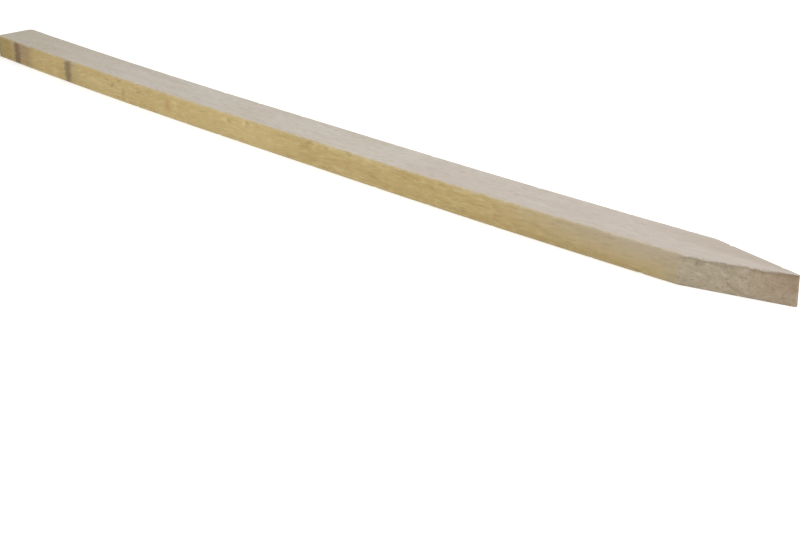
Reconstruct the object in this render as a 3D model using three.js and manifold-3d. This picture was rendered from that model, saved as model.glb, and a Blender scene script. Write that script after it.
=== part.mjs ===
// Sawn wooden garden stake: a flat batten, warped edgewise, with a point made by two raking cuts.
// Millimetres. The stake lies on a wide face, +X toward the point, +Z up, origin under its middle.

import * as THREE from "three";
import { mergeVertices } from "three/addons/utils/BufferGeometryUtils.js";
import Module from "manifold-3d";

// Driving dimensions
const STAKE_LENGTH = 914; // head to tip
const STAKE_WIDTH = 39; // across a wide face
const STAKE_THICKNESS = 21; // across a narrow face
const POINT_LENGTH = 73; // shoulders to tip, along the stake
const NIB_WIDTH = 2; // blunt end left between the two raking cuts
const CROOK = 9.8; // how far the warped ends stand off the line of the middle, edgewise
const STRAIGHT_LENGTH = 160; // stretch in the middle that stayed straight
const ARRIS_RADIUS = 0.8; // worn long edges, while the edges of the point stay sharp

// Facets
const CROOK_SEGMENTS = 41;
const ARRIS_SEGMENTS = 4;

// Finish: pale sawn hardwood, dry and unsealed
const WOOD_COLOUR = 0xc0b296;
const WOOD_ROUGHNESS = 0.8;

// Sizes that follow from the driving dimensions
const HALF_LENGTH = STAKE_LENGTH / 2;
const HALF_WIDTH = STAKE_WIDTH / 2;

const wasm = await Module();
wasm.setup();

/** Closed solid of a geometry, ready to be cut. */
function toSolid(geometry) {
  geometry.deleteAttribute("normal");
  geometry.deleteAttribute("uv");
  const merged = mergeVertices(geometry);
  const mesh = new wasm.Mesh({
    numProp: 3,
    vertProperties: Float32Array.from(merged.attributes.position.array),
    triVerts: Uint32Array.from(merged.index.array),
  });
  return new wasm.Manifold(mesh);
}

/** Flat-shaded geometry of a finished solid. */
function toGeometry(solid) {
  const mesh = solid.getMesh();
  const indexed = new THREE.BufferGeometry();
  indexed.setAttribute("position", new THREE.BufferAttribute(mesh.vertProperties, 3));
  indexed.setIndex(new THREE.BufferAttribute(mesh.triVerts, 1));
  const geometry = indexed.toNonIndexed();
  geometry.computeVertexNormals();
  return geometry;
}

/** Section of the batten as it leaves the saw: a rectangle on the ground line with eased arrises. */
function battenSection() {
  const right = HALF_WIDTH - ARRIS_RADIUS;
  const top = STAKE_THICKNESS - ARRIS_RADIUS;
  const quarter = Math.PI / 2;
  const section = new THREE.Shape();
  section.absarc(right, ARRIS_RADIUS, ARRIS_RADIUS, -quarter, 0);
  section.absarc(right, top, ARRIS_RADIUS, 0, quarter);
  section.absarc(-right, top, ARRIS_RADIUS, quarter, 2 * quarter);
  section.absarc(-right, ARRIS_RADIUS, ARRIS_RADIUS, 2 * quarter, 3 * quarter);
  section.closePath();
  return section;
}

/** Sideways place of the warped centre line: half the crook to one side amid, to the other at the ends. */
function centreLine(x) {
  const curveStart = STRAIGHT_LENGTH / 2;
  const pastStart = Math.max(0, Math.abs(x) - curveStart);
  const share = (pastStart / (HALF_LENGTH - curveStart)) ** 2;
  return CROOK * (share - 1 / 2);
}

/** Batten along X with its ends square to the saw, warped edgewise as it dried. */
function warpedBatten() {
  const batten = new THREE.ExtrudeGeometry(battenSection(), {
    depth: STAKE_LENGTH,
    steps: CROOK_SEGMENTS,
    curveSegments: ARRIS_SEGMENTS,
    bevelEnabled: false,
  });
  const across = new THREE.Vector3(0, 1, 0);
  const up = new THREE.Vector3(0, 0, 1);
  const along = new THREE.Vector3(1, 0, 0);
  batten.applyMatrix4(new THREE.Matrix4().makeBasis(across, up, along));
  batten.translate(-HALF_LENGTH, 0, 0);

  const points = batten.attributes.position;
  for (let i = 0; i < points.count; i += 1) {
    points.setY(i, points.getY(i) + centreLine(points.getX(i)));
  }
  return batten;
}

/** Point on the warped stake, seen from above, at a distance along it and off its centre line. */
function planPoint(x, offCentre) {
  return new THREE.Vector2(x, centreLine(x) + offCentre);
}

/** Waste that one raking cut takes off: an upright wedge outside the line from shoulder to nib. */
function pointWaste(side) {
  const shoulder = planPoint(HALF_LENGTH - POINT_LENGTH, side * HALF_WIDTH);
  const nib = planPoint(HALF_LENGTH, (side * NIB_WIDTH) / 2);
  const overrun = nib.clone().sub(shoulder).setLength(STAKE_WIDTH);
  const sawIn = shoulder.clone().sub(overrun);
  const sawOut = nib.clone().add(overrun);
  const outside = new THREE.Vector2(sawOut.x, sawIn.y);
  const waste = new THREE.ExtrudeGeometry(new THREE.Shape([sawIn, sawOut, outside]), {
    depth: 3 * STAKE_THICKNESS,
    bevelEnabled: false,
  });
  waste.translate(0, 0, -STAKE_THICKNESS);
  return waste;
}

/** The stake: the warped batten, pointed by a raking cut on each narrow side. */
function stakeMesh() {
  const pointed = toSolid(warpedBatten())
    .subtract(toSolid(pointWaste(1)))
    .subtract(toSolid(pointWaste(-1)));
  const wood = new THREE.MeshStandardMaterial({
    color: WOOD_COLOUR,
    roughness: WOOD_ROUGHNESS,
    metalness: 0,
  });
  const mesh = new THREE.Mesh(toGeometry(pointed), wood);
  mesh.name = "stake";
  return mesh;
}

const stake = new THREE.Group();
stake.add(stakeMesh());

export default stake;
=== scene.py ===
"""Looks of the sawn wooden stake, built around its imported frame.

The stake is one oak batten, planed on its wide faces, ripped on its narrow faces, cross-cut at its
head and cut twice on the rake at its point. It lies on a pale studio floor. The stake's own sizes
are in millimetres until its mesh is done, and the studio's are in metres.
"""

import logging
import math
from dataclasses import dataclass, field
from enum import Enum
from itertools import pairwise, product
from typing import Any

import bmesh
import bpy
from mathutils import Color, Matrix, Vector, noise


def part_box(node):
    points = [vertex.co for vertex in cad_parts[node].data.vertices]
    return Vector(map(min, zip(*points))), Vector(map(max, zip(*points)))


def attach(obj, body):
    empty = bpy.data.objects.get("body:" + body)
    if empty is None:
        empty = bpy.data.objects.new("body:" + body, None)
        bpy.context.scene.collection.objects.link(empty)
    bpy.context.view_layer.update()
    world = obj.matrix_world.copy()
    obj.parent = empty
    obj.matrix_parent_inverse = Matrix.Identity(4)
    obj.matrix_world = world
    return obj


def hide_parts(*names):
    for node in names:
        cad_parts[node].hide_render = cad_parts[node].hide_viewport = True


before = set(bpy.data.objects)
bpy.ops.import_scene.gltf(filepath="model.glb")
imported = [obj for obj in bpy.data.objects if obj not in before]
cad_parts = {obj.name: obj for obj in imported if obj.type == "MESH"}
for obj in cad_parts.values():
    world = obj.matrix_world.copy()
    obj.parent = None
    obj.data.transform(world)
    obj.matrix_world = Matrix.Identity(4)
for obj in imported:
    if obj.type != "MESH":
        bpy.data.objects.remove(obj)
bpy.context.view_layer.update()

BAKE_MAP = "OFBake"
PLACE = "sawn_place"
MM = 0.001
BYTE = 255
WHITE = (1.0, 1.0, 1.0, 1.0)
SMOOTH = "SMOOTHSTEP"
# Length at which a wave of scale 1 repeats.
WAVE_REPEAT = math.pi / 10
# Sockets of a mix of colours or places, which share their names with others of that node.
MIX_SHARE = 0
MIX_UNDER = 6
MIX_OVER = 7
MIX_RESULT = 2
MIX_FROM_PLACE = 4
MIX_TO_PLACE = 5
MIX_PLACE = 1

Node = bpy.types.Node
Socket = bpy.types.NodeSocket
Tree = bpy.types.NodeTree

log = logging.getLogger("stake")


def linear(hex_colour: str) -> tuple[float, float, float, float]:
    """Turns an sRGB hex colour into linear values.

    Args:
        hex_colour: Six hex digits after a number sign.

    Returns:
        Linear red, green and blue, and an alpha of 1.
    """
    shares = [part / BYTE for part in bytes.fromhex(hex_colour[1:])]
    return (*Color(shares).from_srgb_to_scene_linear(), 1.0)


def add_node(
    tree: Tree,
    kind: str,
    settings: dict[Any, Any] | None = None,
    links: dict[Any, Socket] | None = None,
) -> Node:
    """Adds a node with its settings and links.

    Args:
        tree: The node tree that gets the node.
        kind: The node's type name without the word ShaderNode.
        settings: Input values by the input's name or number, and properties by name.
        links: Output sockets of other nodes by the input's name or number.

    Returns:
        The new node.
    """
    node = tree.nodes.new("ShaderNode" + kind)
    for key, value in (settings or {}).items():
        if isinstance(key, str) and hasattr(node, key):
            setattr(node, key, value)
        else:
            node.inputs[key].default_value = value
    for key, socket in (links or {}).items():
        tree.links.new(socket, node.inputs[key])
    return node


class Side(Enum):
    """Sides of the batten, the first four in the order that the bake map unrolls them."""

    BOTTOM = 0
    NEAR = 1
    TOP = 2
    FAR = 3
    HEAD = 4
    NIB = 5


class Cut(Enum):
    """How a face of the stake was made, which gives it its finish."""

    PLANED = 0
    RIPPED = 1
    RAKED = 2
    HEADED = 3


class Spread(Enum):
    """Which half of the stake's width a stain covers, as the sign of that half."""

    NEAR = -1
    WHOLE = 0
    FAR = 1


class Pattern(Enum):
    """Patterns of the oak's figure, named as its node group names them."""

    LATE = "Late"
    PORE = "Pore"
    RAY = "Ray"
    FIBRE = "Fibre"
    FLECK = "Fleck"
    MOTTLE = "Mottle"
    TONE = "Tone"
    SHADE = "Shade"
    GLEAM = "Gleam"


@dataclass(frozen=True)
class Batten:
    """Sizes of the sawn and pointed batten before it warped, in millimetres."""

    length: float
    width: float
    thickness: float
    point_length: float = 73.0
    nib_width: float = 2.0

    @classmethod
    def in_frame(cls, crook: float) -> "Batten":
        """Measures the batten in the frame.

        Args:
            crook: How much wider the warp makes the batten's box.

        Returns:
            The batten.
        """
        lowest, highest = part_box("stake")
        size = (highest - lowest) / MM
        return cls(size.x, size.y - crook, size.z)

    @property
    def shoulder(self) -> float:
        """Place of the shoulders along the batten, from its middle."""
        return self.length / 2 - self.point_length

    def half_width(self, along: float) -> float:
        """Half the width at a place along the batten."""
        past = max(0.0, (along - self.shoulder) / self.point_length)
        return (self.width + past * (self.nib_width - self.width)) / 2


@dataclass(frozen=True)
class Streak:
    """Noise drawn out along the grain, in millimetres, and the values between which it shows."""

    run: float
    girth: float
    depth: float
    start: float = 0.0
    full: float = 1.0
    detail: float = 0.0
    roughness: float = 0.5
    shift: float = 0.0

    def cells(self, tree: Tree, place: Socket) -> Socket:
        """Counts a place in repeats of the pattern along the three axes.

        Args:
            tree: The node tree that gets the node.
            place: The place in millimetres.

        Returns:
            The place in repeats.
        """
        scale = [1 / size for size in (self.run, self.girth, self.depth)]
        settings = {"Location": (self.shift, self.shift, self.shift), "Scale": scale}
        return add_node(tree, "Mapping", settings, {"Vector": place}).outputs[0]

    def noise(self, tree: Tree, place: Socket) -> Node:
        """Adds the bare noise.

        Args:
            tree: The node tree that gets it.
            place: The place in millimetres.

        Returns:
            The noise node.
        """
        settings = {"Scale": 1.0, "Detail": self.detail, "Roughness": self.roughness}
        return add_node(tree, "TexNoise", settings, {"Vector": self.cells(tree, place)})

    def shown(self, tree: Tree, value: Socket) -> Socket:
        """Turns a value into a share, from 0 where the streak starts to 1 where it is full."""
        settings = {"interpolation_type": SMOOTH, "From Min": self.start, "From Max": self.full}
        return add_node(tree, "MapRange", settings, {"Value": value}).outputs[0]

    def share(self, tree: Tree, place: Socket) -> Socket:
        """Adds the noise as a share."""
        return self.shown(tree, self.noise(tree, place).outputs[0])


@dataclass(frozen=True)
class OakFigure:
    """The figure of the oak as a solid pattern, so that it agrees on all the faces.

    Sizes are in millimetres, in the place that each point had in the straight batten.
    """

    ring_width: float = 2.6
    pith: tuple[float, float, float] = (0.0, 9.0, -42.0)
    ring_lean: float = 0.035
    late_rise: tuple[float, float] = (0.25, 0.8)
    late_fall: tuple[float, float] = (1.0, 0.86)
    wobble: Streak = Streak(190.0, 26.0, 26.0, detail=1.5)
    wobble_reach: tuple[float, float, float] = (0.0, 2.6, 2.6)
    # Real pores are up to 0.3 mm across. They are drawn a little coarser, to outlast the bake.
    pore: Streak = Streak(17.0, 0.8, 0.8, start=0.4, full=0.22)
    late_pores: float = 0.18
    ray: Streak = Streak(11.0, 0.9, 4.0, start=0.58, full=0.72)
    fibre: Streak = Streak(60.0, 1.6, 1.6, start=0.42, full=0.62, detail=4.0, roughness=0.65)
    fleck: Streak = Streak(9.0, 1.1, 1.1, start=0.77, full=0.87, detail=1.0)
    cluster: Streak = Streak(70.0, 24.0, 24.0)
    cluster_pull: float = 0.25
    mottle: Streak = Streak(85.0, 12.0, 12.0, start=0.35, full=0.65, detail=3.0)
    tone: Streak = Streak(85.0, 12.0, 12.0, start=0.4, full=0.65, detail=3.0, shift=40.0)
    shade: Streak = Streak(8.0, 3.0, 3.0, start=0.5, full=0.72, detail=2.0, shift=70.0)
    gleam: Streak = Streak(7.0, 2.6, 2.6, start=0.52, full=0.74, detail=2.0, shift=110.0)
    # Stains end unevenly: they wander, and single fibres draw them along the grain.
    stain_wander: Streak = Streak(6.0, 6.0, 6.0, detail=2.0, shift=150.0)
    wander_reach: tuple[float, float, float] = (3.0, 3.0, 3.0)
    stain_wick: Streak = Streak(22.0, 1.3, 1.3, detail=1.0, shift=190.0)
    wick_reach: tuple[float, float, float] = (4.0, 0.0, 0.0)

    def group(self) -> Tree:
        """Builds the node group that all the oak finishes share.

        Returns:
            A group with an output for the place, one for the ragged place that tints over stretches and
            spots take, and one for the share of each pattern.
        """
        tree = bpy.data.node_groups.new("oak_figure", "ShaderNodeTree")
        place = add_node(tree, "Attribute", {"attribute_name": PLACE}).outputs["Vector"]
        grain = self._moved(tree, place, self.wobble, self.wobble_reach)
        wandered = self._moved(tree, place, self.stain_wander, self.wander_reach)
        radius, arc = self._polar(tree, grain)
        late = self._late_wood(tree, radius)
        sockets = {
            "Place": place,
            "Soaked": self._moved(tree, wandered, self.stain_wick, self.wick_reach),
            Pattern.LATE.value: late,
            Pattern.PORE.value: self._pores(tree, grain, late),
            Pattern.RAY.value: self._rays(tree, place, radius, arc),
            Pattern.FIBRE.value: self.fibre.share(tree, grain),
            Pattern.FLECK.value: self._flecks(tree, grain),
            Pattern.MOTTLE.value: self.mottle.share(tree, grain),
            Pattern.TONE.value: self.tone.share(tree, grain),
            Pattern.SHADE.value: self.shade.share(tree, place),
            Pattern.GLEAM.value: self.gleam.share(tree, place),
        }
        out = tree.nodes.new("NodeGroupOutput")
        for name, socket in sockets.items():
            kind = "NodeSocketVector" if socket.type == "VECTOR" else "NodeSocketFloat"
            tree.interface.new_socket(name, in_out="OUTPUT", socket_type=kind)
            tree.links.new(socket, out.inputs[name])
        return tree

    def _moved(
        self, tree: Tree, place: Socket, streak: Streak, reach: tuple[float, float, float]
    ) -> Socket:
        """Moves a place by a streak's noise, about as far as a reach to either side.

        Args:
            tree: The group's node tree.
            place: The place in millimetres.
            streak: The streak that gives the noise.
            reach: How far the place moves along each axis.

        Returns:
            The moved place.
        """
        half = (0.5, 0.5, 0.5)
        noise_colour = streak.noise(tree, place).outputs["Color"]
        centred = add_node(tree, "VectorMath", {"operation": "SUBTRACT", 1: half}, {0: noise_colour})
        settings = {"operation": "MULTIPLY_ADD", 1: [2 * part for part in reach]}
        return add_node(tree, "VectorMath", settings, {0: centred.outputs[0], 2: place}).outputs[0]

    def _polar(self, tree: Tree, grain: Socket) -> tuple[Socket, Socket]:
        """Finds the distance from the pith and the way round it.

        Args:
            tree: The group's node tree.
            grain: The place in the wobbling grain.

        Returns:
            The radius and the arc, both in millimetres.
        """
        off = add_node(tree, "VectorMath", {"operation": "SUBTRACT", 1: self.pith}, {0: grain})
        lean = {"operation": "MULTIPLY", 1: (self.ring_lean, 1.0, 1.0)}
        leaning = add_node(tree, "VectorMath", lean, {0: off.outputs[0]})
        radius = add_node(tree, "VectorMath", {"operation": "LENGTH"}, {0: leaning.outputs[0]})
        axes = add_node(tree, "SeparateXYZ", {}, {0: off.outputs[0]})
        sides = {0: axes.outputs["Y"], 1: axes.outputs["Z"]}
        turn = add_node(tree, "Math", {"operation": "ARCTAN2"}, sides)
        reach = {"operation": "MULTIPLY", 1: abs(self.pith[2])}
        arc = add_node(tree, "Math", reach, {0: turn.outputs[0]})
        return radius.outputs["Value"], arc.outputs[0]

    def _late_wood(self, tree: Tree, radius: Socket) -> Socket:
        """Draws each ring's slow rise to late wood and its quick fall at the next spring.

        Args:
            tree: The group's node tree.
            radius: The distance from the pith.

        Returns:
            The share of late wood.
        """
        rings = add_node(tree, "Math", {"operation": "DIVIDE", 1: self.ring_width}, {0: radius})
        share = add_node(tree, "Math", {"operation": "FRACT"}, {0: rings.outputs[0]})
        slopes = []
        for first, last in (self.late_rise, self.late_fall):
            settings = {"interpolation_type": SMOOTH, "From Min": first, "From Max": last}
            slopes.append(add_node(tree, "MapRange", settings, {"Value": share.outputs[0]}).outputs[0])
        late = add_node(tree, "Math", {"operation": "MULTIPLY"}, dict(enumerate(slopes)))
        return late.outputs[0]

    def _pores(self, tree: Tree, grain: Socket, late: Socket) -> Socket:
        """Draws open pores: dashes along the grain, dots across it, most of them in early wood.

        Args:
            tree: The group's node tree.
            grain: The place in the wobbling grain.
            late: The share of late wood.

        Returns:
            The share of open pores.
        """
        cells = {"Vector": self.pore.cells(tree, grain)}
        distance = add_node(tree, "TexVoronoi", {"Scale": 1.0}, cells).outputs["Distance"]
        settings = {"operation": "MULTIPLY_ADD", 1: self.late_pores}
        shyer = add_node(tree, "Math", settings, {0: late, 2: distance})
        return self.pore.shown(tree, shyer.outputs[0])

    def _rays(self, tree: Tree, place: Socket, radius: Socket, arc: Socket) -> Socket:
        """Draws the rays: flecks on a face along a radius, fine lines on one across it.

        Args:
            tree: The group's node tree.
            place: The place in the straight batten.
            radius: The distance from the pith.
            arc: The way round the pith.

        Returns:
            The share of rays.
        """
        axes = add_node(tree, "SeparateXYZ", {}, {0: place})
        polar = add_node(tree, "CombineXYZ", {}, {"X": axes.outputs["X"], "Y": arc, "Z": radius})
        return self.ray.share(tree, polar.outputs[0])

    def _flecks(self, tree: Tree, grain: Socket) -> Socket:
        """Draws the few dark flecks where dirt has filled open vessels, gathered in clusters.

        Args:
            tree: The group's node tree.
            grain: The place in the wobbling grain.

        Returns:
            The share of flecks.
        """
        dash = self.fleck.noise(tree, grain).outputs[0]
        cluster = self.cluster.noise(tree, grain).outputs[0]
        settings = {"operation": "MULTIPLY_ADD", 1: self.cluster_pull}
        pulled = add_node(tree, "Math", settings, {0: cluster, 2: dash})
        return self.fleck.shown(tree, pulled.outputs[0])


@dataclass(frozen=True)
class Overlay:
    """A tint laid over the wood. Each kind of overlay says where it shows."""

    tint: str

    def share(self, tree: Tree, grain: Node, batten: Batten) -> Socket:
        """Says how much of the tint shows at each point.

        Args:
            tree: The material's node tree.
            grain: The node with the oak's figure.
            batten: The sizes of the batten.

        Returns:
            A share from 0 to 1.
        """
        raise NotImplementedError

    def over(self, colour: Socket, tree: Tree, grain: Node, batten: Batten) -> Socket:
        """Lays the tint over a colour.

        Args:
            colour: The colour under the tint.
            tree: The material's node tree.
            grain: The node with the oak's figure.
            batten: The sizes of the batten.

        Returns:
            The tinted colour.
        """
        settings = {"data_type": "RGBA", MIX_OVER: linear(self.tint)}
        links = {MIX_SHARE: self.share(tree, grain, batten), MIX_UNDER: colour}
        return add_node(tree, "Mix", settings, links).outputs[MIX_RESULT]


@dataclass(frozen=True)
class Layer(Overlay):
    """A tint where a pattern of the oak's figure shows."""

    pattern: Pattern
    strength: float

    def share(self, tree: Tree, grain: Node, batten: Batten) -> Socket:
        """Takes its strength's part of the pattern."""
        settings = {"operation": "MULTIPLY", 1: self.strength}
        return add_node(tree, "Math", settings, {0: grain.outputs[self.pattern.value]}).outputs[0]


@dataclass(frozen=True)
class StainAndPaintedLight(Overlay):
    """A tint over a stretch of the stake, in millimetres from the head: mostly stains that soaked in, some
    painted light and shade.

    It comes in and goes out between two places each, and its strength changes from the upper edge
    of a narrow face down to a depth below it.
    """

    comes: tuple[float, float]
    goes: tuple[float, float]
    upper_strength: float
    lower_strength: float
    spread: Spread = Spread.WHOLE
    depth: float | None = None
    raggedness: float = 1.0
    middle_blur: float = 3.0

    def share(self, tree: Tree, grain: Node, batten: Batten) -> Socket:
        """Multiplies how much the stain shows along, up and across the stake.

        Args:
            tree: The material's node tree.
            grain: The node with the oak's figure.
            batten: The sizes of the batten.

        Returns:
            A share from 0 to the stain's strength.
        """
        links = {MIX_FROM_PLACE: grain.outputs["Place"], MIX_TO_PLACE: grain.outputs["Soaked"]}
        ragged = add_node(tree, "Mix", {"data_type": "VECTOR", MIX_SHARE: self.raggedness}, links)
        axes = add_node(tree, "SeparateXYZ", {}, {0: ragged.outputs[MIX_PLACE]})
        head = -batten.length / 2
        upper_edge = batten.thickness
        lower_edge = upper_edge - (self.depth or batten.thickness)
        strengths = (self.lower_strength, self.upper_strength)
        limits = [
            ("X", (head + self.comes[0], head + self.comes[1]), (0.0, 1.0)),
            ("X", (head + self.goes[0], head + self.goes[1]), (1.0, 0.0)),
            ("Z", (lower_edge, upper_edge), strengths),
        ]
        if self.spread is not Spread.WHOLE:
            blur = self.spread.value * self.middle_blur
            limits.append(("Y", (-blur, blur), (0.0, 1.0)))
        shares = []
        for axis, ends, values in limits:
            settings = {"interpolation_type": SMOOTH, "From Min": ends[0], "From Max": ends[1]}
            settings |= {"To Min": values[0], "To Max": values[1]}
            shares.append(add_node(tree, "MapRange", settings, {"Value": axes.outputs[axis]}).outputs[0])
        share = shares[0]
        for part in shares[1:]:
            share = add_node(tree, "Math", {"operation": "MULTIPLY"}, {0: share, 1: part}).outputs[0]
        return share


@dataclass(frozen=True)
class Spot(Overlay):
    """A small spot on the near side, such as a knot or a torn pit, in millimetres from the head."""

    along: float
    up: float
    half_run: float
    half_height: float
    strength: float

    def share(self, tree: Tree, grain: Node, batten: Batten) -> Socket:
        """Shows the spot by the distance from its middle.

        Args:
            tree: The material's node tree.
            grain: The node with the oak's figure.
            batten: The sizes of the batten.

        Returns:
            A share from 0 to the spot's strength.
        """
        along = self.along - batten.length / 2
        middle = (along, -batten.half_width(along), self.up)
        shrink = (1 / self.half_run, 1 / self.half_run, 1 / self.half_height)
        links = {0: grain.outputs["Soaked"]}
        off = add_node(tree, "VectorMath", {"operation": "SUBTRACT", 1: middle}, links)
        settings = {"operation": "MULTIPLY", 1: shrink}
        scaled = add_node(tree, "VectorMath", settings, {0: off.outputs[0]})
        distance = add_node(tree, "VectorMath", {"operation": "LENGTH"}, {0: scaled.outputs[0]})
        settings = {"interpolation_type": SMOOTH, "From Min": 1.0, "From Max": 0.0, "To Max": self.strength}
        return add_node(tree, "MapRange", settings, {"Value": distance.outputs["Value"]}).outputs[0]


@dataclass(frozen=True)
class Kerf(Overlay):
    """Marks that teeth or knives left square to the length, in millimetres."""

    pitch: float
    strength: float
    depth: float
    bend: float = 2.5
    detail: float = 1.5
    detail_size: float = 0.6

    def wave(self, tree: Tree, grain: Node) -> Socket:
        """Draws the marks, from 0 between them to 1 on them.

        Args:
            tree: The material's node tree.
            grain: The node with the oak's figure.

        Returns:
            The share of the marks.
        """
        settings = {"Scale": WAVE_REPEAT / self.pitch, "Distortion": self.bend, "Detail": self.detail}
        settings |= {"Detail Scale": self.detail_size}
        return add_node(tree, "TexWave", settings, {"Vector": grain.outputs["Place"]}).outputs["Fac"]

    def share(self, tree: Tree, grain: Node, batten: Batten) -> Socket:
        """Takes its strength's part of the marks."""
        settings = {"operation": "MULTIPLY", 1: self.strength}
        return add_node(tree, "Math", settings, {0: self.wave(tree, grain)}).outputs[0]


@dataclass(frozen=True)
class RubAndHighlight(Overlay):
    """A tint along the long edges: wear where hands have rubbed them and, where it is pale, a painted
    highlight.
    """

    strength: float
    reach: float = 2.2

    def share(self, tree: Tree, grain: Node, batten: Batten) -> Socket:
        """Shows the tint by the distance from the nearest long edge.

        Args:
            tree: The material's node tree.
            grain: The node with the oak's figure.
            batten: The sizes of the batten.

        Returns:
            A share from 0 to the rub's strength.
        """
        axes = add_node(tree, "SeparateXYZ", {}, {0: grain.outputs["Place"]})
        half_width = batten.width / 2
        half_thickness = batten.thickness / 2
        inside = []
        for axis, middle, half in (("Y", 0.0, half_width), ("Z", half_thickness, half_thickness)):
            off = add_node(tree, "Math", {"operation": "SUBTRACT", 1: middle}, {0: axes.outputs[axis]})
            reach = add_node(tree, "Math", {"operation": "ABSOLUTE"}, {0: off.outputs[0]})
            left = add_node(tree, "Math", {"operation": "SUBTRACT", 0: half}, {1: reach.outputs[0]})
            inside.append(left.outputs[0])
        away = add_node(tree, "Math", {"operation": "ADD"}, dict(enumerate(inside)))
        settings = {"From Min": self.reach, "From Max": 0.0, "To Max": self.strength}
        return add_node(tree, "MapRange", settings, {"Value": away.outputs[0]}).outputs[0]


@dataclass(frozen=True)
class OakFinish:
    """Oak as one tool left it: its colours from the ground up, and its surface.

    Depths and sizes are in millimetres.
    """

    name: str
    ground: str
    figure: tuple[Overlay, ...]
    kerf: Kerf
    stains_and_painted_light: tuple[Overlay, ...]
    pores: tuple[Overlay, ...]
    rub_and_highlight: RubAndHighlight
    roughness: float
    pore_depth: float
    fuzz_depth: float
    fuzz_size: float
    fuzz_detail: float = 3.0
    roughness_spread: float = 0.06
    ior: float = 1.53
    sheen: float = 0.2

    def material(self, figure: Tree, batten: Batten) -> bpy.types.Material:
        """Makes the material.

        Args:
            figure: The node group with the oak's figure.
            batten: The sizes of the batten.

        Returns:
            The material, with colour, roughness and bump from its nodes.
        """
        made = bpy.data.materials.new(self.name)
        made.use_nodes = True
        tree = made.node_tree
        shader = tree.nodes["Principled BSDF"]
        shader.inputs["IOR"].default_value = self.ior
        shader.inputs["Specular IOR Level"].default_value = self.sheen
        grain = add_node(tree, "Group", {"node_tree": figure})
        colour = add_node(tree, "RGB").outputs[0]
        colour.default_value = linear(self.ground)
        for overlay in (*self.figure, self.kerf, *self.stains_and_painted_light, *self.pores, self.rub_and_highlight):
            colour = overlay.over(colour, tree, grain, batten)
        tree.links.new(colour, shader.inputs["Base Color"])
        settings = {"To Min": self.roughness - self.roughness_spread}
        settings |= {"To Max": self.roughness + self.roughness_spread}
        rough = add_node(tree, "MapRange", settings, {"Value": grain.outputs[Pattern.MOTTLE.value]})
        tree.links.new(rough.outputs[0], shader.inputs["Roughness"])
        tree.links.new(self._bump(tree, grain), shader.inputs["Normal"])
        return made

    def _bump(self, tree: Tree, grain: Node) -> Socket:
        """Sinks the pores and the tool's marks, and roughens the wood between them.

        Args:
            tree: The material's node tree.
            grain: The node with the oak's figure.

        Returns:
            The bumped normal.
        """
        settings = {"Scale": 1 / self.fuzz_size, "Detail": self.fuzz_detail}
        fuzz = add_node(tree, "TexNoise", settings, {"Vector": grain.outputs["Place"]})
        height = fuzz.outputs[0]
        pores = grain.outputs[Pattern.PORE.value]
        for pattern, depth in ((self.kerf.wave(tree, grain), self.kerf.depth), (pores, self.pore_depth)):
            settings = {"operation": "MULTIPLY_ADD", 1: -depth / self.fuzz_depth}
            height = add_node(tree, "Math", settings, {0: pattern, 2: height}).outputs[0]
        settings = {"Strength": 1.0, "Distance": self.fuzz_depth * MM}
        return add_node(tree, "Bump", settings, {"Height": height}).outputs[0]


# Ends of a stretch of stain or painted light that runs past the head or past the tip.
PAST_HEAD = (-20.0, -10.0)
PAST_TIP = (1000.0, 1010.0)

# Planed oak, dry and greyed by light: pale and even, its figure only just showing.
PLANED = OakFinish(
    name="planed_oak",
    ground="#CDC6BA",
    figure=(
        Layer("#BCB1A2", Pattern.MOTTLE, 0.4),
        Layer("#CEC0B6", Pattern.TONE, 0.6),
        Layer("#BCB1A2", Pattern.LATE, 0.22),
        Layer("#BCB1A2", Pattern.FIBRE, 0.26),
        Layer("#D6CFC5", Pattern.RAY, 0.25),
        Layer("#B3A797", Pattern.SHADE, 0.3),
        Layer("#DCD6CD", Pattern.GLEAM, 0.3),
    ),
    kerf=Kerf("#BCB1A2", pitch=4.5, strength=0.03, depth=0.008),
    stains_and_painted_light=(
        # Painted shade darkens the top towards the head, where the lamps light it less, and earth has
        # dulled the point, most of all its far half.
        StainAndPaintedLight("#B4AE95", PAST_HEAD, (0.0, 260.0), 0.42, 0.42),
        StainAndPaintedLight("#B9A696", (800.0, 890.0), PAST_TIP, 0.18, 0.18),
        StainAndPaintedLight("#A29180", (760.0, 880.0), PAST_TIP, 0.34, 0.34, Spread.FAR),
        # The wood is a little pinker towards the point.
        StainAndPaintedLight("#C0B1AA", (540.0, 640.0), PAST_TIP, 0.28, 0.28),
    ),
    pores=(
        Layer("#A2947F", Pattern.PORE, 0.3),
        Layer("#988A76", Pattern.FLECK, 0.35),
    ),
    # Pale along the long edges: wear and a painted highlight.
    rub_and_highlight=RubAndHighlight("#D6C8AF", 0.3),
    roughness=0.68,
    pore_depth=0.05,
    fuzz_depth=0.03,
    fuzz_size=0.9,
)
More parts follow.
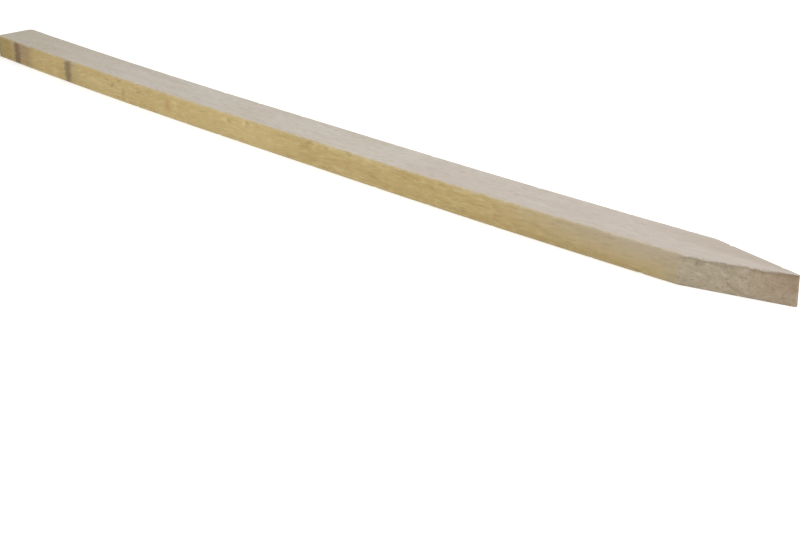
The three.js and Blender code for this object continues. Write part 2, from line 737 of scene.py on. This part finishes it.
# Ripped oak, still yellow: a straw colour with a few flecks, greyed where it has lain in the ground.
RIPPED = OakFinish(
    name="ripped_oak",
    ground="#C7B380",
    figure=(
        Layer("#B49D67", Pattern.MOTTLE, 0.7),
        Layer("#C3AA7A", Pattern.TONE, 0.6),
        Layer("#B49D67", Pattern.LATE, 0.3),
        Layer("#B49D67", Pattern.FIBRE, 0.5),
        Layer("#D3C097", Pattern.RAY, 0.25),
        Layer("#A88E58", Pattern.SHADE, 0.28),
        Layer("#D8C797", Pattern.GLEAM, 0.32),
    ),
    kerf=Kerf("#B49D67", pitch=3.1, strength=0.1, depth=0.05),
    stains_and_painted_light=(
        # Painted light: the sawn faces are paler along the middle of the shank, where the front lamp falls
        # most.
        StainAndPaintedLight("#CFBB88", (240.0, 340.0), (400.0, 520.0), 0.35, 0.35),
        # Towards the point the wood turns greyer, most at its upper edge, and darker near its lower edge.
        StainAndPaintedLight("#9A8557", (680.0, 730.0), (810.0, 838.0), 0.04, 0.18),
        StainAndPaintedLight("#B5A790", (640.0, 841.0), PAST_TIP, 1.0, 0.15),
        StainAndPaintedLight("#AC9F86", (820.0, 840.0), PAST_TIP, 0.2, 0.65),
        # The near side of the head is olive from handling, and brown where its end drank dirt.
        StainAndPaintedLight("#A18D5A", PAST_HEAD, (20.0, 38.0), 0.95, 0.8, Spread.NEAR),
        StainAndPaintedLight("#8F8163", PAST_HEAD, (3.0, 10.0), 0.85, 0.5, Spread.NEAR),
        # Two bands of iron stain, where steel strapping held a bundle together.
        StainAndPaintedLight("#A0886A", (26.0, 37.0), (56.0, 78.0), 0.95, 0.62, Spread.NEAR),
        StainAndPaintedLight("#6F5A42", (32.0, 37.0), (41.0, 49.0), 0.7, 0.75, Spread.NEAR),
        StainAndPaintedLight("#A29274", (127.0, 133.0), (140.0, 162.0), 0.6, 0.2, Spread.NEAR),
        StainAndPaintedLight("#5E523C", (130.0, 136.0), (138.0, 146.0), 0.56, 0.6, Spread.NEAR),
        # The planer tore short slivers off the rim.
        StainAndPaintedLight("#CBC2B4", PAST_HEAD, PAST_TIP, 0.42, 0.0, depth=0.4),
        # A pin knot, the pale fibres that bend round it, and checks that dirt has filled.
        Spot("#B4875A", along=301.0, up=11.0, half_run=6.0, half_height=7.5, strength=0.57),
        Spot("#DFCB93", along=313.0, up=13.5, half_run=5.0, half_height=7.0, strength=0.32),
        Spot("#7A6438", along=214.0, up=12.0, half_run=9.0, half_height=3.0, strength=0.42),
        Spot("#7A6438", along=225.0, up=18.0, half_run=6.0, half_height=2.2, strength=0.4),
        Spot("#7A6438", along=231.0, up=8.0, half_run=4.0, half_height=6.0, strength=0.36),
        Spot("#7A6438", along=257.0, up=14.0, half_run=6.0, half_height=2.4, strength=0.42),
        # Rays that the saw left proud, each with its shaded side.
        Spot("#DFCB93", along=382.0, up=15.0, half_run=5.0, half_height=3.0, strength=0.45),
        Spot("#7A6438", along=389.0, up=15.0, half_run=4.0, half_height=3.4, strength=0.36),
        Spot("#DFCB93", along=407.0, up=17.0, half_run=3.6, half_height=4.0, strength=0.45),
        Spot("#7A6438", along=413.0, up=18.0, half_run=3.4, half_height=4.0, strength=0.34),
        Spot("#7A6438", along=490.0, up=18.5, half_run=6.0, half_height=2.6, strength=0.4),
        Spot("#DFCB93", along=498.5, up=18.5, half_run=4.0, half_height=3.4, strength=0.5),
        Spot("#DFCB93", along=515.0, up=18.8, half_run=5.0, half_height=3.0, strength=0.45),
        Spot("#7A6438", along=537.0, up=19.6, half_run=9.0, half_height=2.0, strength=0.34),
    ),
    pores=(
        Layer("#806B40", Pattern.PORE, 0.2),
        Layer("#806B40", Pattern.FLECK, 0.3),
    ),
    # Pale along the long edges: wear and a painted highlight.
    rub_and_highlight=RubAndHighlight("#D3C4A2", 0.25),
    roughness=0.8,
    pore_depth=0.1,
    fuzz_depth=0.08,
    fuzz_size=0.7,
)
# Oak cut on the rake across its fibres: duller and greyer, torn into short light and dark dashes.
RAKED = OakFinish(
    name="raked_oak",
    ground="#BDB09A",
    figure=(
        Layer("#ADA089", Pattern.MOTTLE, 0.6),
        Layer("#B9A892", Pattern.TONE, 0.5),
        Layer("#ADA089", Pattern.LATE, 0.3),
        Layer("#ADA089", Pattern.FIBRE, 0.35),
        Layer("#D2C7B2", Pattern.RAY, 0.3),
        Layer("#8F816A", Pattern.SHADE, 0.33),
        Layer("#D2C7B2", Pattern.GLEAM, 0.29),
    ),
    kerf=Kerf("#ADA089", pitch=2.3, strength=0.15, depth=0.08),
    stains_and_painted_light=(
        # Earth has browned the tip, and painted shade darkens it high up and under the torn upper edge,
        # whose rim has worn pale.
        StainAndPaintedLight("#A1886F", (866.0, 912.0), PAST_TIP, 0.72, 0.42),
        StainAndPaintedLight("#7D6D57", (838.0, 846.0), PAST_TIP, 0.5, 0.0, depth=4.5),
        StainAndPaintedLight("#D0C7BB", (838.0, 846.0), (890.0, 912.0), 1.0, 0.0, depth=1.8, raggedness=0.5),
        # Pits where the saw tore fibres out, and fibres that it left standing.
        Spot("#6F6049", along=853.0, up=17.0, half_run=3.4, half_height=2.4, strength=0.5),
        Spot("#6F6049", along=870.0, up=17.0, half_run=2.6, half_height=2.4, strength=0.5),
        Spot("#6F6049", along=875.0, up=6.5, half_run=2.8, half_height=1.8, strength=0.45),
        Spot("#6F6049", along=898.5, up=9.0, half_run=2.4, half_height=1.8, strength=0.45),
        Spot("#6F6049", along=903.0, up=11.5, half_run=2.0, half_height=2.0, strength=0.5),
        Spot("#6F6049", along=906.0, up=4.5, half_run=2.2, half_height=1.6, strength=0.4),
        Spot("#D6CBB6", along=855.0, up=10.0, half_run=5.0, half_height=1.4, strength=0.32),
        Spot("#D6CBB6", along=867.0, up=4.0, half_run=4.0, half_height=1.4, strength=0.3),
        Spot("#D6CBB6", along=880.0, up=7.5, half_run=4.0, half_height=1.4, strength=0.3),
        # A touch of rust on the nib.
        Spot("#97694F", along=912.0, up=12.0, half_run=4.0, half_height=6.5, strength=0.32),
    ),
    pores=(
        Layer("#77664F", Pattern.PORE, 0.18),
        Layer("#77664F", Pattern.FLECK, 0.3),
    ),
    # Pale along the long edges: wear and a painted highlight.
    rub_and_highlight=RubAndHighlight("#C6B8A0", 0.15),
    roughness=0.85,
    pore_depth=0.18,
    fuzz_depth=0.12,
    fuzz_size=0.6,
)
# Cross-cut oak at the head: end grain, darkest of all, with its rings and pores end on.
HEADED = OakFinish(
    name="cross_cut_oak",
    ground="#B3A285",
    figure=(
        Layer("#917E60", Pattern.MOTTLE, 0.5),
        Layer("#AD977A", Pattern.TONE, 0.5),
        Layer("#917E60", Pattern.LATE, 0.75),
        Layer("#917E60", Pattern.FIBRE, 0.25),
        Layer("#C2B292", Pattern.RAY, 0.45),
    ),
    kerf=Kerf("#917E60", pitch=2.6, strength=0.08, depth=0.05),
    stains_and_painted_light=(),
    pores=(
        Layer("#55462F", Pattern.PORE, 0.7),
        Layer("#55462F", Pattern.FLECK, 0.3),
    ),
    rub_and_highlight=RubAndHighlight("#9A8868", 0.3),
    roughness=0.88,
    pore_depth=0.2,
    fuzz_depth=0.12,
    fuzz_size=0.6,
)
FINISHES = {Cut.PLANED: PLANED, Cut.RIPPED: RIPPED, Cut.RAKED: RAKED, Cut.HEADED: HEADED}


@dataclass(frozen=True)
class SawMarks:
    """Relief that the tools left, in millimetres below the sawn face."""

    wander_depth: float = 0.1
    wander_run: float = 170.0
    knife_depth: float = 0.025
    knife_bend: float = 2.0
    ripple_depth: float = 0.05
    ripple_pitch: float = 6.5
    ripple_bend: float = 3.0
    saw_radius: float = 160.0
    tear_depth: float = 0.35
    tear_run: float = 9.0
    tear_girth: float = 1.6
    tear_from: float = 0.42
    score_depth: float = 0.1
    score_size: float = 1.5

    def wide(self, place: Vector) -> float:
        """Depth on a planed face: a slow wander and faint knife marks.

        Args:
            place: The point on the straight batten's face.

        Returns:
            The depth.
        """
        wander = noise.noise(Vector((place.x / self.wander_run, place.y / self.wander_run, place.z)))
        knife = math.sin(math.tau * place.x / self.ripple_pitch + self.knife_bend * wander)
        return (self.wander_depth * (1 + wander) + self.knife_depth * (1 + knife)) / 2

    def narrow(self, place: Vector) -> float:
        """Depth on a ripped face: arcs of a round saw and torn fibres.

        Args:
            place: The point on the straight batten's face.

        Returns:
            The depth.
        """
        wander = noise.noise(Vector((place.x / self.wander_run, place.y, place.z / self.wander_run)))
        arc = place.x + math.sqrt(self.saw_radius**2 - place.z**2)
        ripple = math.sin(math.tau * arc / self.ripple_pitch + self.ripple_bend * wander)
        torn = noise.noise(Vector((place.x / self.tear_run, place.y, place.z / self.tear_girth)))
        tear = self.tear_depth * max(0.0, torn - self.tear_from)
        return (self.wander_depth * (1 + wander) + self.ripple_depth * (1 + ripple)) / 2 + tear

    def across(self, place: Vector) -> float:
        """Depth on a face cut across the fibres: a scored, uneven surface."""
        return self.score_depth * (1 + noise.noise(place / self.score_size)) / 2


@dataclass(frozen=True)
class Wear:
    """How far the long edges and the head's corners are rounded, in millimetres.

    The edges are worn on the shank and crisp on the point. Each of them, and each kind of wear, takes
    its own row of the noise.
    """

    arris: float = 0.6
    near_strip: float = 1.0
    sway: float = 0.4
    sway_run: float = 50.0
    bruise_depth: float = 3.2
    bruise_from: float = 0.25
    bruise_run: float = 8.0
    cut_arris: float = 0.5
    chip_depth: float = 3.0
    chip_from: float = 0.28
    chip_run: float = 4.5
    corner: float = 1.2
    knock_depth: float = 5.0
    knock_sway: float = 0.6
    knock_run: float = 4.0
    far_row: float = 3.0
    upper_row: float = 7.0
    bruise_row: float = 5.0
    chip_row: float = 9.0
    knock_row: float = 13.0

    @staticmethod
    def ease(one_way: float, other_way: float) -> float:
        """Finds how far a point of a square edge moves back to make the edge round.

        Args:
            one_way: How far the point lies past the start of the rounding.
            other_way: The same at right angles.

        Returns:
            The share of both by which the point moves back.
        """
        if one_way <= 0 or other_way <= 0:
            return 0.0
        return 1 - max(one_way, other_way) / math.hypot(one_way, other_way)

    def corner_radius(self, place: Vector, batten: Batten) -> float:
        """Finds the radius of the head's upright edge nearest to a point.

        Args:
            place: The point in the straight batten.
            batten: The sizes of the batten.

        Returns:
            The radius, with the knock that the far corner has had from above.
        """
        if place.y < 0:
            return self.corner
        dent = noise.noise(Vector((place.z / self.knock_run, 0.0, self.knock_row)))
        knock = self.knock_depth * (place.z / batten.thickness) ** 2
        return self.corner + knock * (1 + self.knock_sway * dent)

    def radius(self, place: Vector, batten: Batten) -> float:
        """Finds the radius of the long edge nearest to a point.

        Args:
            place: The point in the straight batten.
            batten: The sizes of the batten.

        Returns:
            The radius, with the bruises of the shank or the chips that the saw tore out of the
            upper edges of the point.
        """
        upper = place.z > batten.thickness / 2
        row = self.far_row * (place.y > 0) + self.upper_row * upper
        slow = noise.noise(Vector((place.x / self.sway_run, row, 0.0)))
        knock = noise.noise(Vector((place.x / self.bruise_run, row, self.bruise_row)))
        tear = noise.noise(Vector((place.x / self.chip_run, row, self.chip_row)))
        bruise = self.bruise_depth * max(0.0, knock - self.bruise_from)
        chip = self.chip_depth * max(0.0, tear - self.chip_from) if upper else 0.0
        removed = (batten.width / 2 - batten.half_width(place.x)) / self.arris
        kept = max(0.0, 1 - removed)
        worn = kept * (self.arris * (1 + self.sway * slow) + bruise)
        return max(worn, self.cut_arris + (1 - kept) * chip)


@dataclass(frozen=True)
class BakeSheet:
    """Square sheet on which the stake is unrolled, in lengths one above another, in millimetres."""

    batten: Batten
    rows: int = 3
    gap: float = 4.0
    end_gap: float = 12.0

    @property
    def row_length(self) -> float:
        """Length of stake in one row."""
        return self.batten.length / self.rows

    @property
    def row_height(self) -> float:
        """Height of a row: once round the stake and a gap."""
        return 2 * (self.batten.width + self.batten.thickness) + self.gap

    @property
    def size(self) -> float:
        """Side of the sheet."""
        return self.rows * self.row_height + self.gap

    def row(self, along: float) -> int:
        """Row that holds a place along the batten."""
        return min(int((along + self.batten.length / 2) / self.row_length), self.rows - 1)

    def spot(self, side: Side, place: Vector, row: int) -> tuple[float, float]:
        """Finds where a point of the straight batten lies on the sheet.

        Args:
            side: The side of the batten that the point's face belongs to.
            place: The point in the straight batten.
            row: The row that the face lies in.

        Returns:
            The two coordinates of the map, from 0 to 1.
        """
        width, thickness = self.batten.width, self.batten.thickness
        if side in (Side.HEAD, Side.NIB):
            column = self.row_length + self.end_gap
            if side is Side.NIB:
                column += thickness + self.gap
            right = column + place.z
            up = self.gap + width / 2 + place.y
        else:
            girth = {
                Side.BOTTOM: width / 2 - place.y,
                Side.NEAR: width + place.z,
                Side.TOP: width + thickness + width / 2 + place.y,
                Side.FAR: 2 * width + 2 * thickness - place.z,
            }[side]
            right = self.gap + place.x + self.batten.length / 2 - row * self.row_length
            up = self.gap + row * self.row_height + girth
        return right / self.size, up / self.size


@dataclass
class Stake:
    """The stake: one warped batten with a two-cut point, in the place of its CAD node.

    Sizes are in millimetres.
    """

    crook: float = 9.8
    straight_length: float = 160.0
    wide_cells: int = 26
    narrow_cells: int = 16
    shank_cell: float = 1.15
    point_cell: float = 0.9
    sharp_angle: float = math.radians(38)
    square_on: float = 0.9
    marks: SawMarks = SawMarks()
    wear: Wear = Wear()
    batten: Batten = field(init=False)

    def __post_init__(self) -> None:
        """Takes the batten's sizes from the frame."""
        self.batten = Batten.in_frame(self.crook)

    def build(self) -> bpy.types.Object:
        """Models the stake.

        Returns:
            The stake's object, at the origin.
        """
        bm = self._straight_batten()
        sides = bm.faces.layers.int.new("side")
        places = bm.verts.layers.float_vector.new(PLACE)
        for face in bm.faces:
            face[sides] = self._side(face.normal).value
        for vert in bm.verts:
            vert[places] = vert.co
        self._unroll(bm, sides)
        self._sort_cuts(bm, sides)
        for vert in bm.verts:
            vert.co = self._worked(vert.co)
        bmesh.ops.scale(bm, vec=(MM, MM, MM), verts=bm.verts[:])
        bm.normal_update()
        for edge in bm.edges:
            edge.smooth = edge.calc_face_angle() < self.sharp_angle
        for face in bm.faces:
            face.smooth = True
        bm.faces.layers.int.remove(sides)
        mesh = bpy.data.meshes.new("sawn_stake")
        bm.to_mesh(mesh)
        bm.free()
        piece = bpy.data.objects.new("sawn_stake", mesh)
        bpy.context.scene.collection.objects.link(piece)
        return piece

    def dress(self, piece: bpy.types.Object) -> None:
        """Gives each cut of the stake its finish.

        Args:
            piece: The stake's object.
        """
        figure = OakFigure().group()
        for cut in Cut:
            piece.data.materials.append(FINISHES[cut].material(figure, self.batten))

    def _stations(self) -> list[float]:
        """Finds where the rings of cells lie along the batten.

        Returns:
            The places from the head's end to the nib's, closer together past the shoulders.
        """
        batten = self.batten
        shank_length = batten.length - batten.point_length
        shank_rings = round(shank_length / self.shank_cell)
        point_rings = round(batten.point_length / self.point_cell)
        shank = [shank_length * ring / shank_rings - batten.length / 2 for ring in range(shank_rings)]
        past = [batten.point_length * ring / point_rings for ring in range(point_rings + 1)]
        return shank + [batten.shoulder + run for run in past]

    def _corner(self, along: float, cell: tuple[int, int]) -> Vector:
        """Finds a corner of a cell on a section of the straight batten.

        Args:
            along: The place of the section along the batten.
            cell: How many cells the corner lies across and up from the near lower edge.

        Returns:
            The corner. Cells are finer towards the long edges.
        """
        across = math.sin((cell[0] / self.wide_cells - 1 / 2) * math.pi)
        up = math.sin((cell[1] / self.narrow_cells - 1 / 2) * math.pi)
        return Vector((along, across * self.batten.half_width(along), (1 + up) * self.batten.thickness / 2))

    def _straight_batten(self) -> bmesh.types.BMesh:
        """Lays rings of fine cells from the head's end to the nib's and closes both ends.

        Returns:
            The straight batten, lying on its lower wide face.
        """
        wide, narrow = self.wide_cells, self.narrow_cells
        rim = [(across, 0) for across in range(wide)] + [(wide, up) for up in range(narrow)]
        rim += [(wide - across, narrow - up) for across, up in rim]
        stations = self._stations()
        bm = bmesh.new()
        rings = [{cell: bm.verts.new(self._corner(along, cell)) for cell in rim} for along in stations]
        for ring, onward in pairwise(rings):
            for cell, beside in zip(rim, rim[1:] + rim[:1]):
                bm.faces.new((ring[cell], ring[beside], onward[beside], onward[cell]))
        for along, ring, turn in ((stations[0], rings[0], -1), (stations[-1], rings[-1], 1)):
            inside = product(range(1, wide), range(1, narrow))
            grid = ring | {cell: bm.verts.new(self._corner(along, cell)) for cell in inside}
            for across, up in product(range(wide), range(narrow)):
                corners = ((across, up), (across + 1, up), (across + 1, up + 1), (across, up + 1))
                bm.faces.new([grid[corner] for corner in corners][::turn])
        bm.normal_update()
        return bm

    def _side(self, normal: Vector) -> Side:
        """Names the side of the straight batten that faces this way.

        Args:
            normal: The normal of a face.

        Returns:
            The side.
        """
        if abs(normal.z) > self.square_on:
            return Side.TOP if normal.z > 0 else Side.BOTTOM
        if abs(normal.x) > self.square_on:
            return Side.NIB if normal.x > 0 else Side.HEAD
        return Side.FAR if normal.y > 0 else Side.NEAR

    def _unroll(self, bm: bmesh.types.BMesh, sides: bmesh.types.BMLayerItem) -> None:
        """Unrolls the straight batten on the bake sheet.

        Args:
            bm: The straight batten.
            sides: The layer with the side of each face.
        """
        sheet = BakeSheet(self.batten)
        spots = bm.loops.layers.uv.new(BAKE_MAP)
        for face in bm.faces:
            side = Side(face[sides])
            row = sheet.row(face.calc_center_median().x)
            for loop in face.loops:
                loop[spots].uv = sheet.spot(side, loop.vert.co, row)

    def _sort_cuts(self, bm: bmesh.types.BMesh, sides: bmesh.types.BMLayerItem) -> None:
        """Marks each face with the cut that made it.

        The worn arrises and the strip that the plane missed along the near ones show ripped wood, and
        the upper edges of the point planed wood.

        Args:
            bm: The straight batten.
            sides: The layer with the side of each face.
        """
        half_width = self.batten.width / 2
        pale = self.batten.thickness - self.wear.cut_arris
        for face in bm.faces:
            side = Side(face[sides])
            middle = face.calc_center_median()
            if side is Side.HEAD:
                cut = Cut.HEADED
            elif side is Side.NIB:
                cut = Cut.RAKED
            elif side in (Side.NEAR, Side.FAR) and middle.x > self.batten.shoulder:
                cut = Cut.PLANED if middle.z > pale else Cut.RAKED
            elif side in (Side.NEAR, Side.FAR):
                cut = Cut.RIPPED
            else:
                strip = self.wear.near_strip if middle.y < 0 else self.wear.arris
                cut = Cut.RIPPED if abs(middle.y) > half_width - strip else Cut.PLANED
            face.material_index = cut.value

    def _centre_line(self, along: float) -> float:
        """Sideways place of the warped centre line.

        Args:
            along: The place along the batten, from its middle.

        Returns:
            How far the line lies to the far side of the stake's axis.
        """
        curve_start = self.straight_length / 2
        past = max(0.0, abs(along) - curve_start)
        share = (past / (self.batten.length / 2 - curve_start)) ** 2
        return self.crook * (share - 1 / 2)

    def _worked(self, place: Vector) -> Vector:
        """Moves a point of the straight batten to its place on the worn and warped stake.

        Args:
            place: The point in the straight batten.

        Returns:
            The point with the eased arris, the tools' marks and the crook.
        """
        batten = self.batten
        half_width = batten.half_width(place.x)
        middle = batten.thickness / 2
        out = abs(place.y)
        up = abs(place.z - middle)
        radius = min(self.wear.radius(place, batten), half_width / 2)
        past_out = out - (half_width - radius)
        past_up = up - (middle - radius)
        ease = self.wear.ease(past_out, past_up)
        out -= past_out * ease
        up -= past_up * ease
        corner = self.wear.corner_radius(place, batten)
        past_end = corner - (place.x + batten.length / 2)
        past_out = out - (half_width - corner)
        ease = self.wear.ease(past_end, past_out)
        along = place.x + past_end * ease
        out -= past_out * ease
        narrow_face = Vector((place.x, math.copysign(half_width, place.y), place.z))
        wide_face = Vector((place.x, place.y, math.copysign(middle, place.z - middle)))
        is_point = place.x > batten.shoulder
        cut_depth = self.marks.across(narrow_face) if is_point else self.marks.narrow(narrow_face)
        out *= 1 - cut_depth / half_width
        up *= 1 - self.marks.wide(wide_face) / middle
        if abs(place.x) > (batten.length - self.point_cell) / 2:
            along -= math.copysign(self.marks.across(place), place.x)
        across = math.copysign(out, place.y) + self._centre_line(place.x)
        return Vector((along, across, middle + math.copysign(up, place.z - middle)))


@dataclass(frozen=True)
class Lamp:
    """A square soft lamp that faces the middle of the stake, in metres and watts."""

    name: str
    place: tuple[float, float, float]
    size: float
    power: float

    def hang(self) -> None:
        """Hangs the lamp."""
        light = bpy.data.lights.new(self.name, "AREA")
        light.size = self.size
        light.energy = self.power
        lamp = bpy.data.objects.new(self.name, light)
        lamp.location = self.place
        lamp.rotation_euler = (-Vector(self.place)).to_track_quat("-Z", "Y").to_euler()
        bpy.context.scene.collection.objects.link(lamp)


@dataclass
class Studio:
    """Pale floor, soft lamps and the camera at the photograph's viewing angle, in metres."""

    camera_place: tuple[float, float, float] = (0.9405, -0.7689, 0.3763)
    camera_pitch: float = 21.86
    camera_turn: float = 47.25
    camera_roll: float = -0.7
    level_tilt: float = 90.0
    lens_mm: float = 71.08
    floor_size: float = 12.0
    floor_colour: str = "#F4F3F1"
    floor_roughness: float = 1.0
    floor_sheen: float = 0.0
    floor_lift: float = 0.44
    sky: float = 0.62
    lamps: tuple[Lamp, ...] = (
        Lamp("top_lamp", (0.75, 0.3, 1.0), 0.9, 6.0),
        Lamp("front_lamp", (-0.1, -0.9, 0.25), 0.6, 2.6),
    )

    def build(self) -> None:
        """Sets up the floor, the light and the camera."""
        self._floor()
        self._world()
        for lamp in self.lamps:
            lamp.hang()
        self._camera()
        bpy.context.scene.view_settings.view_transform = "Standard"

    def _floor(self) -> None:
        """Lays the floor, white to the eye where no shadow falls."""
        bm = bmesh.new()
        bmesh.ops.create_grid(bm, x_segments=1, y_segments=1, size=self.floor_size / 2)
        mesh = bpy.data.meshes.new("studio_floor")
        bm.to_mesh(mesh)
        bm.free()
        floor = bpy.data.objects.new("studio_floor", mesh)
        bpy.context.scene.collection.objects.link(floor)
        mesh.materials.append(self._paper())

    def _paper(self) -> bpy.types.Material:
        """Makes the floor's matt paper, lifted to white for the eye alone.

        Returns:
            The floor's material.
        """
        paper = bpy.data.materials.new("matt_paper")
        paper.use_nodes = True
        tree = paper.node_tree
        shader = tree.nodes["Principled BSDF"]
        shader.inputs["Base Color"].default_value = linear(self.floor_colour)
        shader.inputs["Roughness"].default_value = self.floor_roughness
        shader.inputs["Specular IOR Level"].default_value = self.floor_sheen
        shader.inputs["Emission Color"].default_value = WHITE
        lift = {"operation": "MULTIPLY", 1: self.floor_lift}
        lifted = add_node(tree, "Math", lift, {0: self._seen(tree)})
        tree.links.new(lifted.outputs[0], shader.inputs["Emission Strength"])
        return paper

    def _seen(self, tree: Tree) -> Socket:
        """Gives 1 for a ray that the eye follows and 0 for a ray that only carries light.

        Args:
            tree: The node tree of the floor or of the world.

        Returns:
            The share, 0 or 1.
        """
        path = add_node(tree, "LightPath")
        seen = path.outputs["Is Camera Ray"]
        for name in ("Is Glossy Ray", "Is Transmission Ray"):
            links = {0: seen, 1: path.outputs[name]}
            seen = add_node(tree, "Math", {"operation": "MAXIMUM"}, links).outputs[0]
        return seen

    def _world(self) -> None:
        """Lights the scene evenly from all round, and shows white behind it."""
        world = bpy.data.worlds.new("studio")
        world.use_nodes = True
        tree = world.node_tree
        back = tree.nodes["Background"]
        back.inputs["Color"].default_value = WHITE
        power = add_node(tree, "MapRange", {"To Min": self.sky, "To Max": 1.0}, {"Value": self._seen(tree)})
        tree.links.new(power.outputs[0], back.inputs["Strength"])
        bpy.context.scene.world = world

    def _camera(self) -> None:
        """Sets the camera where the photograph was taken from."""
        lens = bpy.data.cameras.new("camera")
        lens.lens = self.lens_mm
        lens.sensor_fit = "HORIZONTAL"
        camera = bpy.data.objects.new("camera", lens)
        camera.location = self.camera_place
        tilt = math.radians(self.level_tilt - self.camera_pitch)
        camera.rotation_euler = (tilt, 0.0, math.radians(self.camera_turn))
        camera.rotation_euler.rotate_axis("Z", math.radians(self.camera_roll))
        bpy.context.scene.collection.objects.link(camera)
        bpy.context.scene.camera = camera


def main() -> None:
    """Builds the studio and the stake, and notes the sizes of both models."""
    logging.basicConfig(level=logging.INFO, format="%(name)s: %(message)s")
    log.info("frame: %d nodes", len(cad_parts))
    Studio().build()
    stake = Stake()
    piece = stake.build()
    stake.dress(piece)
    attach(piece, "root")
    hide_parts("stake")
    log.info("%s: %d faces", piece.name, len(piece.data.polygons))


if __name__ == "__main__":
    main()
